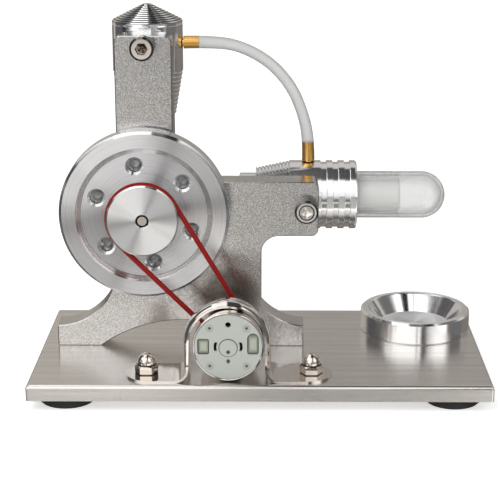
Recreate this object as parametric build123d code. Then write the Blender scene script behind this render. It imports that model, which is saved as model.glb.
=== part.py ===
from build123d import *
import os
from math import atan2, cos, degrees, pi, radians, sin, sqrt, tan

# Hot-air (Stirling) engine model that drives a small generator by a belt.
# Frame: origin at the bottom centre of the bounding box, +X to the hot end, +Z up, and the
# flywheel side towards -Y. Millimetres.

# ---- Base plate and feet -----------------------------------------------------------------
BASE_L = 160.0            # along X
BASE_W = 82.0             # along Y
BASE_SKIRT = 5.6          # height of the folded skirt
SHEET_T = 1.0
FOLD_R = 1.3              # outside radius of the folds
CORNER_R = 0.8            # upright corners of the skirt
FOOT_PROUD = 4.2          # how far the feet reach below the skirt
FOOT_R = 9.8
FOOT_X = 67.2
FOOT_Y = 28.2
PLATE_TOP = FOOT_PROUD + BASE_SKIRT
PLATE_UNDER = PLATE_TOP - SHEET_T

# ---- Crank axis and engine frame ---------------------------------------------------------
CRANK_X = -41.0
CRANK_Z = 61.5
FRAME_FRONT = -0.7        # Y of the frame's front face
FRAME_T = 10.0
FRAME_BACK = FRAME_FRONT + FRAME_T
ARM_W = 20.0              # width of both arms
ARM_TOP = 123.3           # Z of the upright arm's end
ARM_END = 20.7            # X of the level arm's end
ARM_CORNER_R = 2.4
ARM_INNER_R = 6.3         # fillets between the arms and the column
COLUMN_LEFT = -52.4
COLUMN_RIGHT = 0.3
LEG_LEFT = -74.1          # X of the left foot's end
LEG_RIGHT = 15.65
LEG_H = 7.8               # height of the feet's ends
LEG_R = 21.7              # concave arc from a foot up to the column
ARCH_X = -28.2            # centre of the arch under the frame
ARCH_HALF = 30.1
ARCH_RISE = 9.9
EDGE_CHAMFER = 0.35
FRAME_SCREW_X = (-66.0, 9.0)

# ---- Cylinders ---------------------------------------------------------------------------
CYL_R = 12.7
CYL_SEAT = 12.5           # depth of the flat that seats on the frame, from the axis
CYL_Y = FRAME_BACK + CYL_SEAT
GROOVES = 10              # turned grooves in each taper and in the cone
GROOVE_DEPTH = 0.45

POWER_NECK_R = 9.4
POWER_BORE_R = 8.2
POWER_BOTTOM = 83.8
POWER_TAPER = 92.5
POWER_BODY = 108.0
POWER_TOP = 125.0
CONE_BASE_R = 12.7
CONE_TIP_R = 1.15
CONE_TOP = 131.8
POWER_SCREW_Z = 119.4
PORT_Z = 118.0            # height of the air port

DISP_START = -8.0
DISP_NECK_R = 8.0
DISP_TAPER = -2.0
DISP_BODY = 10.6
DISP_RINGS = 22.0
DISP_END = 35.2
DISP_SCREW_X = 16.3
PORT_X = 17.4
CUP_R = 7.0               # open bore that the con rod works in
GLAND_START = 8.5
CHAMBER_START = 15.0
CHAMBER_R = 7.45
SOCKET_START = 23.2
TAPER_SMALL_R = 10.0
RING_DEPTH = 0.6
RING_W = 2.15

# ---- Hot cap and displacer ---------------------------------------------------------------
CAP_R = 8.65
CAP_WALL = 1.2
CAP_END = 68.2
CAP_SEAL_T = 1.0
SHELL_R = 6.8
SHELL_LEN = 32.0
SHELL_END = 51.2          # front of the displacer at rest, which is its cold end of stroke
SHELL_WALL = 0.4
ROD_R = 1.5
ROD_GAP = 0.04            # running clearance of rods and pins

# ---- Crank train -------------------------------------------------------------------------
CRANK_R = 4.2             # half the stroke
SHAFT_R = 2.0
BEARING_R = 5.5
BEARING_W = 4.0
RACE_IN_R = 3.15
RACE_OUT_R = 4.45
BALL_R = 0.8
BALLS = 8
DISC_R = 9.0
DISC_T = 4.5
DISC_GAP = 0.7            # between the frame and the crank disc
PIN_R = 1.5
DOWEL_R = 0.5
CON_ROD_L = 37.8          # between centres
LINK_T = 2.2
LINK_W = 2.6
BIG_END_R = 3.4
SMALL_END_R = 1.9
BUSH_R = 2.2
WRIST_R = 1.0
LINK_GAP = 0.3
LUG_T = 1.7
DISC_FRONT = FRAME_BACK + DISC_GAP
DISC_BACK = DISC_FRONT + DISC_T
POWER_LINK_Y = 19.3       # front faces of the two con rods
DISP_LINK_Y = 22.1
PIN_X = CRANK_X - CRANK_R # the crank pin points to -X at rest

PISTON_R = 8.12
SKIRT_R = 7.5
PISTON_CROWN = 108.0      # crown at mid stroke, which is its rest place
CROWN_T = 2.0
PISTON_SKIRT = 94.0

# ---- Flywheel, pulley and belt -----------------------------------------------------------
WHEEL_R = 30.0
WHEEL_T = 8.3
WHEEL_FRONT = -10.0
WHEEL_CHAMFER = 1.0
WEB_DEPTH = 1.5
WEB_R = 22.3
RIM_IN_R = 24.2
HOLE_PCR = 17.75
HOLE_R = 2.4
SINK_R = 3.25
HOLES = 6
HOLE_START = 40.0         # degrees from +X
PULLEY_FRONT = -17.7
PULLEY_R = 12.6
BELT_R = 0.9
BELT_PITCH_R = 12.4
BELT_GAP = 0.15
BELT_Y = PULLEY_FRONT + 2.5
MOTOR_PITCH_R = 6.3

# ---- Motor and strap ---------------------------------------------------------------------
MOTOR_X = -10.85
MOTOR_Z = 22.5
MOTOR_R = 12.2
MOTOR_FRONT = -37.2
MOTOR_BACK = -18.5
CAN_WALL = 0.8
CAN_RIM = 0.45            # the can's rim round the end cap
CAN_POCKET_R = 3.4        # rear pocket for the bush
CAN_POCKET = 0.7          # how far it stands out
END_CAP_T = 1.2
MOTOR_SHAFT_R = 1.0
STRAP_T = 0.7
STRAP_X = -11.4           # centre of the strap's round, a little off the motor's axis
STRAP_Z = 21.9
STRAP_R = 13.15           # inside the round
STRAP_Y = -29.5
STRAP_W = 6.8             # width of the round
STRAP_CROWN = 1.3         # height of the crown along the round
STRAP_BEND = 4.0
STRAP_FEET_X = -10.85     # middle of the two feet
STRAP_FEET_W = 17.5
STRAP_HALF = 35.75        # from that middle to the end of a foot
NUT_OFFSET = 28.6
NUT_HEX_H = 3.2
NUT_H = 7.2
NUT_DOME_R = 3.1

# ---- Burner ring -------------------------------------------------------------------------
RING_X = 58.4
RING_Y = 20.5
RING_R = 20.45
RING_H = 7.9
RING_TOP_R = 17.5
RING_FLOOR_R = 13.2
RING_FLOOR = 1.9          # height of the dish's floor
RING_SCREWS = 3
RING_SCREW_START = -10.0  # degrees from +X, clear of the rubber foot below

# ---- Air hose ----------------------------------------------------------------------------
HOSE_R = 2.05
HOSE_BORE_R = 1.3
NIPPLE_R = 1.5
NIPPLE_BORE_R = 0.8
POWER_NIPPLE_REACH = 5.7
DISP_NIPPLE_REACH = 7.1
# Route of the hose in the plane of the cylinders' axes, from one nipple's root to the other's.
HOSE_ROUTE = [
    (-28.0, 118.0),
    (-20.0, 118.2),
    (-8.5, 117.2),
    (3.0, 111.2),
    (11.0, 102.2),
    (15.2, 92.5),
    (PORT_X, 83.0),
    (PORT_X, 74.6),
]

# ---- Fasteners ---------------------------------------------------------------------------
M5_HEAD_R = 4.25
M5_HEAD_H = 5.0
M5_HEX = 4.0
M5_R = 2.5
M4_R = 2.0
M4_HEAD_R = 3.9
M4_HEAD_H = 2.6
M3_R = 1.5
M3_HEAD_R = 2.8
M3_HEAD_H = 2.0
THREAD_GAP = 0.03         # keeps a screw's shank just clear of its hole


# ---- Helpers -----------------------------------------------------------------------------
def turned(*profile):
    """Solid of revolution about +Z from its closed (radius, height) profile."""
    outline = Polyline(*profile, close=True)
    return revolve(Plane.XZ * make_face(outline), Axis.Z)


def along_x(shape, x=0.0, y=CYL_Y, z=CRANK_Z):
    """Lay a part turned about +Z along +X."""
    return Location((x, y, z)) * Rotation(0, 90, 0) * shape


def along_y(shape, x=CRANK_X, y=0.0, z=CRANK_Z):
    """Lay a part turned about +Z along +Y."""
    return Location((x, y, z)) * Rotation(-90, 0, 0) * shape


def rod(radius, low, high):
    """Round bar about +Z between two heights."""
    return Pos(0, 0, (low + high) / 2) * Cylinder(radius, high - low)


def tube(outer, inner, low, high):
    """Plain ring about +Z between two heights."""
    return rod(outer, low, high) - rod(inner, low - 1, high + 1)


def block(x, y, z):
    """Box from its three (low, high) ranges."""
    centre = [(low + high) / 2 for low, high in (x, y, z)]
    size = [high - low for low, high in (x, y, z)]
    return Pos(*centre) * Box(*size)


def around(shape, count, radius, start=0.0):
    """Copies of a shape on a circle about +Z."""
    angles = [radians(start + 360 * i / count) for i in range(count)]
    return [Pos(radius * cos(a), radius * sin(a), 0) * shape for a in angles]


def nearest(sketch, x, z):
    """The sketch's corner nearest to a place."""
    return sketch.vertices().sort_by_distance((x, z, 0))[0]


def grooved(start, start_r, end, end_r):
    """Profile points of a taper with turned V grooves, from start to end."""
    pitch = (end - start) / GROOVES
    points = []
    for i in range(GROOVES):
        h = start + i * pitch
        r = start_r + (end_r - start_r) * i / GROOVES
        points.append((r, h))
        points.append((r, h + 0.45 * pitch))
        points.append((r - GROOVE_DEPTH, h + 0.6 * pitch))
    return points


def cone_steps(base, base_r, tip, tip_r):
    """Profile points of a cone turned in steps, from its base to its tip."""
    rise = (tip - base) / GROOVES
    inset = (base_r - tip_r) / GROOVES
    points = []
    for i in range(GROOVES):
        points.append((base_r - i * inset, base + i * rise))
        points.append((base_r - (i + 0.35) * inset, base + (i + 0.8) * rise))
    points.append((tip_r, tip))
    return points


def cap_screw(radius, head_r, head_h, hexagon, length):
    """Socket-head screw: head below height 0, shank above it."""
    bevel = 0.16 * head_r
    body = turned(
        (0, -head_h),
        (head_r - bevel, -head_h),
        (head_r, -head_h + bevel),
        (head_r, 0),
        (radius, 0),
        (radius, length - 0.4),
        (radius - 0.4, length),
        (0, length),
    )
    socket_r = hexagon / sqrt(3)
    socket = Pos(0, 0, -head_h) * extrude(RegularPolygon(socket_r, 6), head_h / 2)
    drill = Pos(0, 0, -head_h / 2) * Cone(0.98 * hexagon / 2, 0.0, 0.25 * head_h, align=(
        Align.CENTER, Align.CENTER, Align.MIN))
    return body - socket - drill


def pan_screw(radius, head_r, head_h, length):
    """Pan-head screw with a cross recess: head below height 0, shank above it."""
    body = turned(
        (0, -head_h),
        (0.7 * head_r, -head_h),
        (head_r, -0.4 * head_h),
        (head_r, 0),
        (radius, 0),
        (radius, length - 0.3),
        (radius - 0.3, length),
        (0, length),
    )
    slot = Pos(0, 0, -head_h) * Box(1.1 * head_r, 0.25 * head_r, head_h)
    return body - slot - Rotation(0, 0, 90) * slot


def upright(screw, x, y, z):
    """A screw pushed up through the base sheet from below."""
    return Pos(x, y, z) * screw


# ---- Base --------------------------------------------------------------------------------
def base_plate():
    """Folded sheet lid with holes for the frame, strap and ring screws."""
    outer = block((-BASE_L / 2, BASE_L / 2), (-BASE_W / 2, BASE_W / 2), (FOOT_PROUD, PLATE_TOP))
    outer = fillet(outer.edges().filter_by(Axis.Z), CORNER_R)
    outer = fillet(outer.faces().sort_by(Axis.Z)[-1].edges(), FOLD_R)
    half_l = BASE_L / 2 - SHEET_T
    half_w = BASE_W / 2 - SHEET_T
    inner = block((-half_l, half_l), (-half_w, half_w), (FOOT_PROUD - 1, PLATE_UNDER))
    inner = fillet(inner.faces().sort_by(Axis.Z)[-1].edges(), FOLD_R - SHEET_T)
    plate = outer - inner
    for x in FRAME_SCREW_X:
        plate -= Pos(x, FRAME_FRONT + FRAME_T / 2, PLATE_TOP) * Cylinder(M4_R + 0.1, 6)
    for side in (-1, 1):
        plate -= Pos(STRAP_FEET_X + side * NUT_OFFSET, STRAP_Y, PLATE_TOP) * Cylinder(M4_R + 0.1, 6)
    for hole in around(Cylinder(M3_R + 0.1, 6), RING_SCREWS, ring_screw_circle(), RING_SCREW_START):
        plate -= Pos(RING_X, RING_Y, PLATE_TOP) * hole
    return plate


def rubber_foot(x, y):
    """Round pad stuck under the base sheet."""
    pad = turned(
        (0, 0),
        (FOOT_R - 0.6, 0),
        (FOOT_R, 0.6),
        (FOOT_R, PLATE_UNDER),
        (0, PLATE_UNDER),
    )
    return Pos(x, y, 0) * pad


# ---- Engine frame ------------------------------------------------------------------------
def frame_outline():
    """Front view of the frame: two arms, column, and two legs over an arch."""
    low = PLATE_TOP
    arm_low = CRANK_Z - ARM_W / 2
    arm_high = CRANK_Z + ARM_W / 2
    left = CRANK_X - ARM_W / 2
    right = CRANK_X + ARM_W / 2
    arc_x = LEG_RIGHT + 1.2
    arc_z = low + LEG_H + LEG_R
    column_z = arc_z - sqrt(LEG_R**2 - (arc_x - COLUMN_RIGHT) ** 2)
    leg_end_z = arc_z - sqrt(LEG_R**2 - (arc_x - LEG_RIGHT) ** 2)
    arch_left = (ARCH_X - ARCH_HALF, low)
    arch_right = (ARCH_X + ARCH_HALF, low)
    edges = [
        Line((LEG_LEFT, low), (LEG_LEFT, low + LEG_H)),
        CenterArc((LEG_LEFT, arc_z), LEG_R, -90, 90),
        Polyline(
            (LEG_LEFT + LEG_R, arc_z),
            (left, arm_high),
            (left, ARM_TOP),
            (right, ARM_TOP),
            (right, arm_high),
            (ARM_END, arm_high),
            (ARM_END, arm_low),
            (COLUMN_RIGHT, arm_low),
            (COLUMN_RIGHT, column_z),
        ),
        RadiusArc((COLUMN_RIGHT, column_z), (LEG_RIGHT, leg_end_z), -LEG_R),
        Polyline((LEG_RIGHT, leg_end_z), (LEG_RIGHT, low), arch_right),
        ThreePointArc(arch_right, (ARCH_X, low + ARCH_RISE), arch_left),
        Line(arch_left, (LEG_LEFT, low)),
    ]
    outline = make_face(Curve() + edges)
    corners = [(left, ARM_TOP), (right, ARM_TOP), (ARM_END, arm_high), (ARM_END, arm_low)]
    outline = fillet([nearest(outline, *c) for c in corners], ARM_CORNER_R)
    inner = [(right, arm_high), (COLUMN_RIGHT, arm_low)]
    return fillet([nearest(outline, *c) for c in inner], ARM_INNER_R)


def engine_frame():
    """Blasted plate with bearing seats, cylinder screw holes and tapped feet."""
    face = Plane.XZ * frame_outline()
    frame = Pos(0, FRAME_BACK, 0) * extrude(face, FRAME_T)
    front = frame.faces().sort_by(Axis.Y)[0]
    frame = chamfer(front.edges(), EDGE_CHAMFER)
    seat = along_y(rod(BEARING_R, -1, BEARING_W), y=FRAME_FRONT)
    rear_seat = along_y(rod(BEARING_R, FRAME_T - BEARING_W, FRAME_T + 1), y=FRAME_FRONT)
    shoulder = along_y(rod(RACE_OUT_R, -1, FRAME_T + 1), y=FRAME_FRONT)
    frame = frame - seat - rear_seat - shoulder
    through = rod(M5_R + 0.1, -1, FRAME_T + 1)
    frame -= along_y(through, y=FRAME_FRONT, z=POWER_SCREW_Z)
    frame -= along_y(through, x=DISP_SCREW_X, y=FRAME_FRONT)
    for x in FRAME_SCREW_X:
        tapped = Pos(x, FRAME_FRONT + FRAME_T / 2, PLATE_TOP) * rod(M4_R + THREAD_GAP, -1, 6.4)
        frame -= tapped
    return frame


# ---- Bearings ----------------------------------------------------------------------------
def bearing_fronts():
    """Y of the front face of each bearing."""
    return (FRAME_FRONT, FRAME_BACK - BEARING_W)


def ball_track():
    """Torus that cuts the ball groove into both rings."""
    middle = (RACE_IN_R + RACE_OUT_R) / 2
    return Pos(0, 0, BEARING_W / 2) * Torus(middle, BALL_R + 0.03)


def outer_ring():
    """Outer ring of a ball bearing."""
    return tube(BEARING_R, RACE_OUT_R, 0, BEARING_W) - ball_track()


def inner_ring():
    """Inner ring of a ball bearing."""
    return tube(RACE_IN_R, SHAFT_R, 0, BEARING_W) - ball_track()


def ball_set():
    """The balls of one bearing."""
    middle = (RACE_IN_R + RACE_OUT_R) / 2
    return around(Pos(0, 0, BEARING_W / 2) * Sphere(BALL_R), BALLS, middle)


# ---- Power cylinder ----------------------------------------------------------------------
def frame_seat():
    """Half space in front of the frame's back face, cut off the cylinders."""
    return block((-100, 100), (FRAME_FRONT, FRAME_BACK), (0, 200))


def power_cylinder():
    """Upright cylinder: neck, grooved taper, plain body with air port and screw hole."""
    profile = [(POWER_BORE_R, POWER_BOTTOM), (POWER_NECK_R - 0.4, POWER_BOTTOM)]
    profile.append((POWER_NECK_R, POWER_BOTTOM + 0.4))
    profile.append((POWER_NECK_R, POWER_TAPER))
    profile += grooved(POWER_TAPER, TAPER_SMALL_R, POWER_BODY, CYL_R)
    profile.append((CYL_R, POWER_BODY))
    profile.append((CYL_R, POWER_TOP - 0.3))
    profile.append((CYL_R - 0.3, POWER_TOP))
    profile.append((POWER_BORE_R + 0.8, POWER_TOP))
    profile.append((POWER_BORE_R + 0.8, POWER_TOP - 4.0))
    profile.append((POWER_BORE_R, POWER_TOP - 4.0))
    barrel = Pos(CRANK_X, CYL_Y, 0) * turned(*profile)
    barrel -= frame_seat()
    barrel -= along_x(rod(NIPPLE_R, 0, 20), x=CRANK_X, z=PORT_Z)
    depth = FRAME_T + 3.2
    barrel -= along_y(rod(M5_R + THREAD_GAP, 0, depth), y=FRAME_FRONT, z=POWER_SCREW_Z)
    return barrel


def power_cylinder_head():
    """Stepped cone that closes the power cylinder, with its spigot."""
    spigot_r = POWER_BORE_R + 0.75
    profile = [(0, POWER_TOP - 3.4), (spigot_r, POWER_TOP - 3.4), (spigot_r, POWER_TOP)]
    profile.append((CONE_BASE_R - 0.3, POWER_TOP))
    profile.append((CONE_BASE_R, POWER_TOP + 0.3))
    profile += cone_steps(POWER_TOP + 0.9, CONE_BASE_R, CONE_TOP, CONE_TIP_R)
    profile.append((0, CONE_TOP))
    return Pos(CRANK_X, CYL_Y, 0) * turned(*profile)


def head_gasket():
    """Flat ring under the head's spigot."""
    ring = tube(POWER_BORE_R + 0.75, POWER_BORE_R - 1.2, POWER_TOP - 4.0, POWER_TOP - 3.4)
    return Pos(CRANK_X, CYL_Y, 0) * ring


# ---- Displacer cylinder ------------------------------------------------------------------
def displacer_cylinder():
    """Level cylinder: neck, grooved taper, body, three rings and the hot cap's socket."""
    profile = [(CUP_R, DISP_START), (DISP_NECK_R - 0.3, DISP_START)]
    profile.append((DISP_NECK_R, DISP_START + 0.3))
    profile.append((DISP_NECK_R, DISP_TAPER))
    profile += grooved(DISP_TAPER, TAPER_SMALL_R, DISP_BODY, CYL_R)
    profile.append((CYL_R, DISP_BODY))
    h = DISP_RINGS
    for _ in range(3):
        profile.append((CYL_R, h))
        profile.append((CYL_R - RING_DEPTH, h + 0.15))
        profile.append((CYL_R - RING_DEPTH, h + RING_W - 0.15))
        profile.append((CYL_R, h + RING_W))
        h += 2 * RING_W
    profile.append((CYL_R, DISP_END - 0.7))
    profile.append((CYL_R - 0.2, DISP_END - 0.25))
    profile.append((CYL_R - 0.7, DISP_END))
    profile.append((CAP_R + 0.05, DISP_END))
    profile.append((CAP_R + 0.05, SOCKET_START))
    profile.append((CHAMBER_R, SOCKET_START))
    profile.append((CHAMBER_R, CHAMBER_START))
    profile.append((4.0, CHAMBER_START))
    profile.append((4.0, GLAND_START))
    profile.append((CUP_R, GLAND_START))
    barrel = along_x(turned(*profile))
    barrel -= frame_seat()
    barrel -= Pos(PORT_X, CYL_Y, CRANK_Z) * rod(NIPPLE_R, 0, 20)
    depth = FRAME_T + 3.6
    hole = rod(M5_R + THREAD_GAP, 0, depth)
    return barrel - along_y(hole, x=DISP_SCREW_X, y=FRAME_FRONT)


def gland_bush():
    """Bronze guide of the displacer rod."""
    return along_x(tube(4.0, ROD_R + ROD_GAP, GLAND_START, CHAMBER_START))


def hot_cap():
    """Glass test-tube cap over the hot end."""
    inner_r = CAP_R - CAP_WALL
    start = SOCKET_START + CAP_SEAL_T
    dome = CAP_END - CAP_R
    outer = rod(CAP_R, start, dome) + Pos(0, 0, dome) * Sphere(CAP_R)
    inner = rod(inner_r, start - 1, dome) + Pos(0, 0, dome) * Sphere(inner_r)
    cap = outer - inner
    return along_x(cap)


def hot_cap_seal():
    """Silicone ring between the cap's rim and the socket's floor."""
    return along_x(tube(CAP_R, CHAMBER_R, SOCKET_START, SOCKET_START + CAP_SEAL_T))


# ---- Displacer ---------------------------------------------------------------------------
def displacer_shell():
    """Thin closed can, open at its cold end."""
    start = SHELL_END - SHELL_LEN
    wall = SHELL_WALL
    profile = [
        (0, SHELL_END),
        (SHELL_R - 0.8, SHELL_END),
        (SHELL_R - 0.25, SHELL_END - 0.25),
        (SHELL_R, SHELL_END - 0.8),
        (SHELL_R, start),
        (SHELL_R - wall, start),
        (SHELL_R - wall, SHELL_END - 1.0),
        (SHELL_R - 1.0, SHELL_END - wall),
        (0, SHELL_END - wall),
    ]
    return along_x(turned(*profile))


def displacer_plug():
    """Plug that closes the can and holds the rod."""
    start = SHELL_END - SHELL_LEN
    plug = tube(SHELL_R - SHELL_WALL - 0.02, ROD_R, start, start + 2.6)
    boss = tube(3.0, ROD_R, start + 2.6, start + 6.0)
    return along_x(plug + boss)


def displacer_rod():
    """Steel rod from the fork to the displacer."""
    start = SHELL_END - SHELL_LEN
    return along_x(rod(ROD_R, small_end_x() + 2.4, start + 6.0))


def displacer_fork():
    """Fork on the rod's end that straddles the con rod."""
    x = small_end_x()
    front = DISP_LINK_Y - LINK_GAP
    back = DISP_LINK_Y + LINK_T + LINK_GAP
    reach = (x - SMALL_END_R, x + 5.0)
    half = SMALL_END_R + 0.1
    height = (CRANK_Z - half, CRANK_Z + half)
    body = block(reach, (front - LUG_T, back + LUG_T), height)
    body -= block((x - 5, x + SMALL_END_R + 0.4), (front, back), (0, 200))
    body -= along_y(rod(WRIST_R + 0.05, -20, 20), x=x, y=CYL_Y)
    return body - along_x(rod(ROD_R, x + 2.4, x + 8))


# ---- Crank train -------------------------------------------------------------------------
def small_end_x():
    """X of the displacer con rod's small end at rest."""
    return PIN_X + CON_ROD_L


def small_end_z():
    """Z of the power con rod's small end at rest."""
    return CRANK_Z + CON_ROD_L


def main_shaft():
    """Shaft from the pulley through the frame into the crank disc."""
    front = PULLEY_FRONT + 0.3
    length = DISC_BACK - 1.7 - front
    profile = [
        (0, 0),
        (SHAFT_R - 0.35, 0),
        (SHAFT_R, 0.35),
        (SHAFT_R, length),
        (0, length),
    ]
    return along_y(turned(*profile), y=front)


def crank_disc():
    """Disc on the shaft's rear end that carries the crank pin."""
    profile = [
        (0, -DISC_GAP),
        (RACE_IN_R - 0.2, -DISC_GAP),
        (RACE_IN_R - 0.2, 0),
        (DISC_R - 0.4, 0),
        (DISC_R, 0.4),
        (DISC_R, DISC_T - 0.4),
        (DISC_R - 0.4, DISC_T),
        (0, DISC_T),
    ]
    disc = turned(*profile) - rod(SHAFT_R, -5, DISC_T - 1.7)
    disc -= Pos(-CRANK_R, 0, 0) * rod(PIN_R, 1.5, 10)
    disc -= Pos(-CRANK_R / 2, 0, 0) * rod(DOWEL_R + 0.05, DISC_T - 1.6, 10)
    return along_y(disc, y=DISC_FRONT)


def crank_dowel():
    """Dowel in the crank disc, half way between the shaft and the pin."""
    x = CRANK_X - CRANK_R / 2
    return along_y(rod(DOWEL_R, DISC_T - 1.55, DISC_T - 0.1), x=x, y=DISC_FRONT)


def crank_pin():
    """Pin with a collar, and a groove for its clip."""
    collar_end = POWER_LINK_Y - 0.1
    clip = DISP_LINK_Y + LINK_T + 0.15
    profile = [
        (0, DISC_FRONT + 1.5),
        (PIN_R, DISC_FRONT + 1.5),
        (PIN_R, DISC_BACK),
        (2.4, DISC_BACK),
        (2.4, collar_end),
        (PIN_R, collar_end),
        (PIN_R, clip),
        (PIN_R - 0.3, clip),
        (PIN_R - 0.3, clip + 0.6),
        (PIN_R, clip + 0.6),
        (PIN_R, clip + 1.2),
        (PIN_R - 0.3, clip + 1.5),
        (0, clip + 1.5),
    ]
    return along_y(turned(*profile), x=PIN_X)


def crank_pin_clip():
    """Open retaining clip in the pin's groove."""
    clip = DISP_LINK_Y + LINK_T + 0.15
    ring = tube(2.9, PIN_R - 0.3, clip + 0.05, clip + 0.55)
    ring -= block((-5, -0.6), (-0.9, 0.9), (clip - 1, clip + 2))
    return along_y(ring, x=PIN_X)


def crank_pin_washer():
    """Washer between the two con rods."""
    gap = (POWER_LINK_Y + LINK_T + 0.05, DISP_LINK_Y - 0.05)
    return along_y(tube(2.9, PIN_R, *gap), x=PIN_X)


def con_rod():
    """Flat link along +X from the big end's centre, between heights 0 and LINK_T."""
    shank = Pos(CON_ROD_L / 2, 0, LINK_T / 2) * Box(CON_ROD_L, LINK_W, LINK_T)
    link = shank + rod(BIG_END_R, 0, LINK_T)
    link += Pos(CON_ROD_L, 0, 0) * rod(SMALL_END_R, 0, LINK_T)
    slot = Pos(CON_ROD_L / 2, 0, 0) * extrude(SlotOverall(0.6 * CON_ROD_L, 1.1), LINK_T)
    link = link - slot - rod(BUSH_R, -1, LINK_T + 1)
    return link - Pos(CON_ROD_L, 0, 0) * rod(WRIST_R, -1, LINK_T + 1)


def power_con_rod():
    """Con rod from the crank pin up to the power piston."""
    return along_y(Rotation(0, 0, -90) * con_rod(), x=PIN_X, y=POWER_LINK_Y)


def displacer_con_rod():
    """Con rod from the crank pin to the displacer rod's fork."""
    return along_y(con_rod(), x=PIN_X, y=DISP_LINK_Y)


def rod_bush(front):
    """Bronze bush in a con rod's big end."""
    return along_y(tube(BUSH_R, PIN_R + ROD_GAP, 0, LINK_T), x=PIN_X, y=front)


def wrist_pin(front):
    """Short pin in a con rod's small end."""
    return rod(WRIST_R, front - LINK_GAP + 0.1, front + LINK_T + LINK_GAP - 0.1)


def power_piston():
    """Cup piston with two lugs under its crown."""
    profile = [
        (0, PISTON_CROWN),
        (PISTON_R - 0.3, PISTON_CROWN),
        (PISTON_R, PISTON_CROWN - 0.3),
        (PISTON_R, PISTON_SKIRT),
        (SKIRT_R, PISTON_SKIRT),
        (SKIRT_R, PISTON_CROWN - CROWN_T),
        (0, PISTON_CROWN - CROWN_T),
    ]
    piston = Pos(CRANK_X, CYL_Y, 0) * turned(*profile)
    for h in (PISTON_CROWN - 4.5, PISTON_CROWN - 6.5):
        oil_groove = tube(PISTON_R + 1, PISTON_R - 0.25, h, h + 0.6)
        piston -= Pos(CRANK_X, CYL_Y, 0) * oil_groove
    z = small_end_z()
    side = (CRANK_X - 2.2, CRANK_X + 2.2)
    height = (z - 2.2, PISTON_CROWN - CROWN_T)
    front = POWER_LINK_Y - LINK_GAP
    back = POWER_LINK_Y + LINK_T + LINK_GAP
    piston += block(side, (front - LUG_T, front), height)
    piston += block(side, (back, back + LUG_T), height)
    hole = along_y(rod(WRIST_R + 0.05, front - LUG_T - 0.1, back + LUG_T + 0.1), z=z)
    return piston - hole


# ---- Flywheel and pulley -----------------------------------------------------------------
def flywheel():
    """Solid wheel with a sunk web on both sides and six blind countersunk holes."""
    back = WHEEL_T
    profile = [
        (SHAFT_R, WEB_DEPTH),
        (WEB_R, WEB_DEPTH),
        (RIM_IN_R, 0),
        (WHEEL_R - WHEEL_CHAMFER, 0),
        (WHEEL_R, WHEEL_CHAMFER),
        (WHEEL_R, back - WHEEL_CHAMFER),
        (WHEEL_R - WHEEL_CHAMFER, back),
        (RIM_IN_R, back),
        (WEB_R, back - WEB_DEPTH),
        (7.0, back - WEB_DEPTH),
        (6.0, back),
        (SHAFT_R, back),
    ]
    hole = turned(
        (0, WEB_DEPTH - 1),
        (SINK_R + 1, WEB_DEPTH - 1),
        (HOLE_R, WEB_DEPTH + SINK_R - HOLE_R),
        (HOLE_R, WEB_DEPTH + 3.0),
        (1.2, WEB_DEPTH + 4.0),
        (0, WEB_DEPTH + 4.2),
    )
    wheel = turned(*profile)
    # Laid along +Y, the local angle runs from +X towards -Z.
    for each in around(hole, HOLES, HOLE_PCR, -HOLE_START):
        wheel -= each
    return along_y(wheel, y=WHEEL_FRONT)


def pulley_groove(flange_r, pitch_r, middle):
    """Profile points of a round-bottomed belt groove, from the front flange to the rear one."""
    groove_r = BELT_R + BELT_GAP
    mouth = groove_r + 0.15 * (flange_r - pitch_r)
    steps = 10
    angles = [pi + pi * i / steps for i in range(steps + 1)]
    floor = [(pitch_r + groove_r * sin(a), middle + groove_r * cos(a)) for a in angles]
    return [(flange_r, middle - mouth)] + floor + [(flange_r, middle + mouth)]


def belt_pulley():
    """Large belt pulley: smooth front disc, round groove and a hub on the flywheel's web."""
    length = WHEEL_FRONT + WEB_DEPTH - PULLEY_FRONT
    middle = BELT_Y - PULLEY_FRONT
    profile = [(SHAFT_R, 0.4), (SHAFT_R + 0.4, 0), (PULLEY_R - 0.5, 0), (PULLEY_R, 0.5)]
    profile += pulley_groove(PULLEY_R, BELT_PITCH_R, middle)
    profile += [(PULLEY_R, 4.4), (PULLEY_R - 0.4, 4.8), (7.0, 4.8), (7.0, length)]
    profile += [(SHAFT_R, length)]
    hub_hole = Pos(0, 0, length - 2.2) * Rotation(-90, 0, 0) * rod(M3_R, 0, 10)
    return along_y(turned(*profile) - hub_hole, y=PULLEY_FRONT)


def pulley_set_screw():
    """Grub screw in the pulley's hub."""
    length = WHEEL_FRONT + WEB_DEPTH - PULLEY_FRONT
    screw = rod(M3_R - THREAD_GAP, SHAFT_R, 6.6)
    socket = Pos(0, 0, 5.4) * extrude(RegularPolygon(1.5 / sqrt(3), 6), 2)
    placed = Pos(0, 0, length - 2.2) * Rotation(-90, 0, 0) * (screw - socket)
    return along_y(placed, y=PULLEY_FRONT)


def shaft_spacer():
    """Spacer between the flywheel and the front bearing's inner ring."""
    start = WHEEL_FRONT + WHEEL_T
    return along_y(tube(RACE_IN_R - 0.2, SHAFT_R, start, FRAME_FRONT))


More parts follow.
